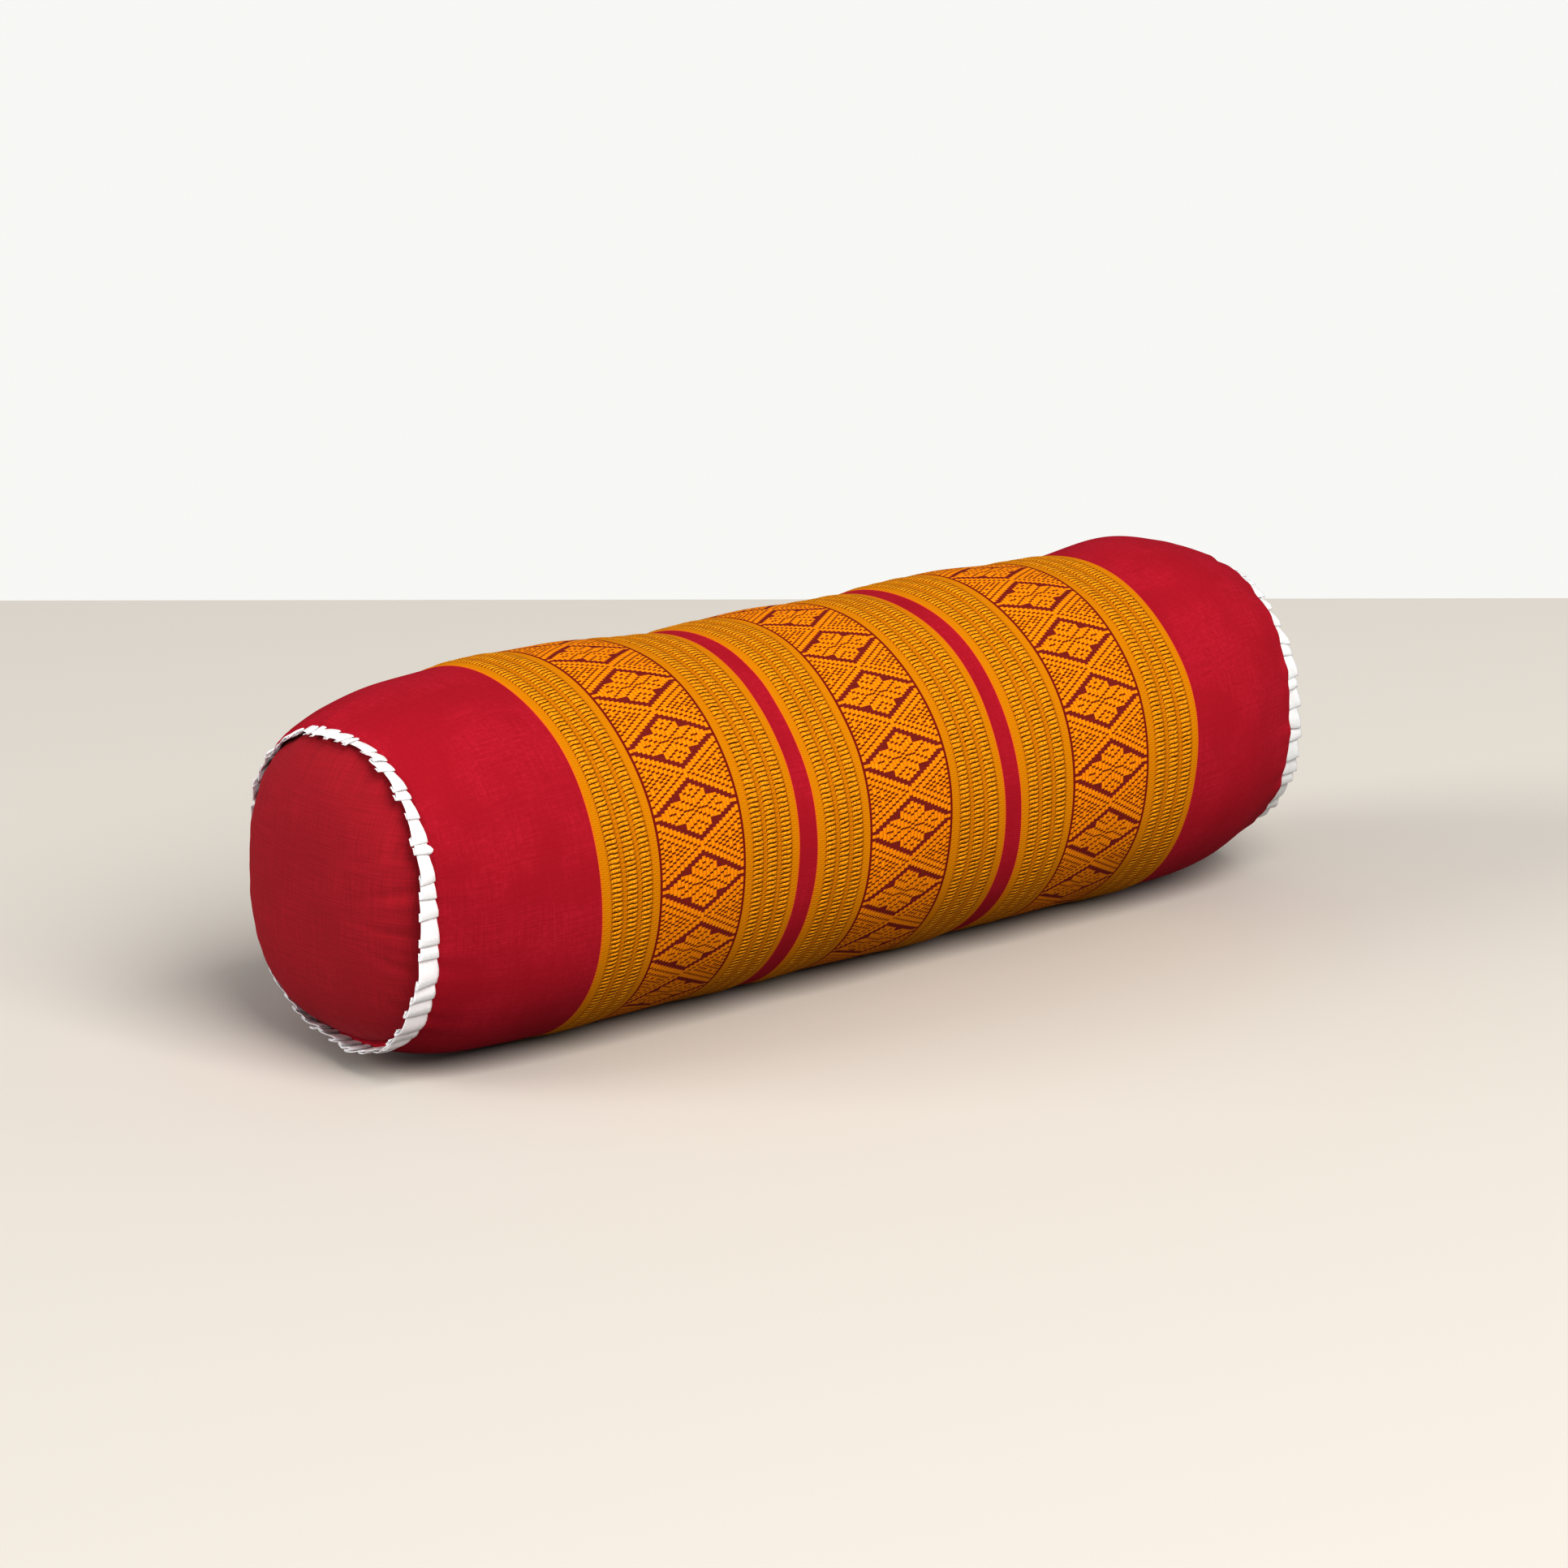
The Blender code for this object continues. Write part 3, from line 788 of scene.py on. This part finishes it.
def woven_material():
    chart = Chart("woven_cloth")
    across, rows = chart.place()
    row_mm = chart.times(rows, ROW_MM)

    # where in a group
    group = chart.math("FLOOR", chart.math("DIVIDE", across, GROUP))
    inside = chart.less(across, chart.times(group, GROUP))
    three = chart.times(chart.rise(across, -0.4, 0.0), chart.rise(across, WEAVE_END + 0.4, WEAVE_END))
    gold_mask = chart.times(three, chart.rise(inside, GOLD + 0.4, GOLD))
    side = chart.less(inside, GOLD / 2)
    hand = chart.math("SIGN", side)
    middle = chart.size(side)
    edge = chart.less(GOLD / 2, middle)

    red, red_height = red_ground(chart, across, row_mm)
    braid, braid_height = braids(chart, across, rows, row_mm, edge, hand)
    figure, figure_height = diamonds(chart, across, rows, row_mm, middle, hand)
    in_figure = chart.rise(middle, BORDER_IN + 0.10, BORDER_IN)
    border = chart.within(middle, BORDER_IN, BORDER_OUT, 0.08)
    gold = chart.mix(in_figure, braid, figure)
    gold = chart.mix(border, gold, BORDER)
    gold_height = chart.add(chart.times(in_figure, figure_height),
                            chart.times(chart.less(1.0, in_figure), braid_height))

    chart.link(chart.mix(gold_mask, red, gold), chart.shader.inputs["Base Color"])
    chart.bump(chart.add(chart.times(chart.less(1.0, gold_mask), red_height),
                         chart.times(gold_mask, gold_height)), 0.9)
    chart.shader.inputs["Roughness"].default_value = 0.82
    chart.shader.inputs["Specular IOR Level"].default_value = 0.04
    return chart.material


def cotton_material():
    chart = Chart("plain_cotton")
    across, up = chart.place()
    cells, slub = plain_weave(chart, across, up)
    cloud = chart.noise(across, up, (0.03, 0.03), 8.0, 3.0)
    red = chart.mix(chart.rise(slub, 0.75, 1.25), DISC_DARK, DISC_LIGHT)
    red = chart.mix(chart.times(chart.rise(cloud, 0.4, 0.7), 0.5), red, DISC_DARK)
    chart.link(red, chart.shader.inputs["Base Color"])
    chart.bump(chart.add(chart.times(cells, 0.035), chart.times(slub, 0.14)), 0.9)
    chart.shader.inputs["Roughness"].default_value = 0.9
    chart.shader.inputs["Specular IOR Level"].default_value = 0.10
    chart.shader.inputs["Sheen Weight"].default_value = 0.02
    chart.shader.inputs["Sheen Roughness"].default_value = 0.5
    return chart.material


def ribbon_material():
    chart = Chart("white_ribbon")
    length, width = chart.place()
    rib_pitch, thread_pitch = 0.45, 0.30
    ribs = chart.math("SINE", chart.times(length, math.tau / rib_pitch))
    threads = chart.math("SINE", chart.times(width, math.tau / thread_pitch))
    selvedge = chart.rise(width, 10.3, 10.7)
    cloud = chart.noise(length, width, (0.2, 0.5), 4.0, 2.0)
    white = chart.mix(chart.rise(cloud, 0.3, 0.7), WHITE_DARK, WHITE_LIGHT)
    white = chart.mix(chart.times(selvedge, 0.25), white, WHITE_EDGE)
    chart.link(white, chart.shader.inputs["Base Color"])
    edge_height = chart.add(chart.times(threads, 0.012), chart.times(selvedge, 0.06))
    chart.bump(chart.add(chart.times(ribs, 0.02), edge_height), 0.8)
    chart.shader.inputs["Roughness"].default_value = 0.55
    chart.shader.inputs["Specular IOR Level"].default_value = 0.3
    chart.shader.inputs["Subsurface Weight"].default_value = 0.45
    chart.shader.inputs["Subsurface Radius"].default_value = (1.0, 0.9, 1.0)
    chart.shader.inputs["Subsurface Scale"].default_value = 0.0025
    return chart.material


def dress():
    """The pieces, with what they stand for."""
    woven, cotton, ribbon = woven_material(), cotton_material(), ribbon_material()
    cover = build_cover()
    cover.data.materials.append(woven)
    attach(cover, "root")
    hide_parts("cover")
    for side, end in (("left", -1), ("right", 1)):
        panel = build_panel("end_cloth_" + side, end)
        panel.data.materials.append(cotton)
        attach(panel, "root")
        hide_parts("end_panel_" + side)
        frill = build_frill("ribbon_" + side, end)
        frill.data.materials.append(ribbon)
        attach(frill, "root")
        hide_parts("frill_" + side)


def make_floor():
    """A pale floor that ends where the white background begins."""
    reach = 9
    away = Vector((0.6409, 0.7676, 0.0))
    side = Vector((0.7676, -0.6409, 0.0))
    foot = Vector((0.4122, 0.4614, 0.0))
    left, right = foot - side * reach, foot + side * reach
    corners = [left, right, right - away * reach, left - away * reach]
    data = bpy.data.meshes.new("floor")
    data.from_pydata([tuple(corner) for corner in corners], [], [(0, 3, 2, 1)])
    floor = bpy.data.objects.new("floor", data)
    bpy.context.scene.collection.objects.link(floor)
    surface = bpy.data.materials.new("floor")
    surface.use_nodes = True
    shader = surface.node_tree.nodes["Principled BSDF"]
    shader.inputs["Roughness"].default_value = 0.7
    shader.inputs["Specular IOR Level"].default_value = 0.1
    bounce = surface.node_tree.nodes.new("ShaderNodeLightPath")
    choice = surface.node_tree.nodes.new("ShaderNodeMix")
    choice.data_type = "RGBA"
    choice.inputs[6].default_value = FLOOR
    choice.inputs[7].default_value = FLOOR_GLOW
    surface.node_tree.links.new(bounce.outputs["Is Diffuse Ray"], choice.inputs["Factor"])
    surface.node_tree.links.new(choice.outputs[2], shader.inputs["Base Color"])
    data.materials.append(surface)


def make_world():
    """A cool sky that lights the cloth, seen as a white background."""
    world = bpy.data.worlds.new("studio")
    world.use_nodes = True
    nodes, links = world.node_tree.nodes, world.node_tree.links
    background = nodes["Background"]
    background.inputs["Color"].default_value = SKY
    background.inputs["Strength"].default_value = SKY_STRENGTH
    seen = nodes.new("ShaderNodeBackground")
    seen.inputs["Color"].default_value = BACKDROP
    seen.inputs["Strength"].default_value = 1.0
    path, mixer = nodes.new("ShaderNodeLightPath"), nodes.new("ShaderNodeMixShader")
    links.new(path.outputs["Is Camera Ray"], mixer.inputs[0])
    links.new(background.outputs[0], mixer.inputs[1])
    links.new(seen.outputs[0], mixer.inputs[2])
    links.new(mixer.outputs[0], nodes["World Output"].inputs["Surface"])
    bpy.context.scene.world = world


def make_light(name, place, size, power, tint=(1.0, 1.0, 1.0)):
    """A soft square light that faces the roll."""
    data = bpy.data.lights.new(name, "AREA")
    data.shape = "SQUARE"
    data.size = size
    data.energy = power
    data.color = tint
    light = bpy.data.objects.new(name, data)
    light.location = place
    aim = Vector((0.0, 0.0, 0.06)) - Vector(place)
    light.rotation_euler = aim.to_track_quat("-Z", "Y").to_euler()
    bpy.context.scene.collection.objects.link(light)


def make_camera():
    data = bpy.data.cameras.new("camera")
    data.lens = 134.724
    data.sensor_width = 36.0
    data.clip_start = 0.05
    data.clip_end = 60.0
    camera = bpy.data.objects.new("camera", data)
    camera.location = (-1.5168, -1.67048, 0.66361)
    camera.rotation_euler = tuple(math.radians(turn) for turn in (75.2, -0.404, -42.006))
    bpy.context.scene.collection.objects.link(camera)
    bpy.context.scene.camera = camera


bpy.context.scene.view_settings.view_transform = "Standard"
bpy.context.scene.view_settings.gamma = 0.8
make_camera()
make_floor()
make_world()
make_light("key", (-0.55, -4.00, 3.75), 4.0, 420, (1.0, 0.985, 0.965))
make_light("fill", (-12.0, 6.25, 4.75), 8.0, 1480)
dress()
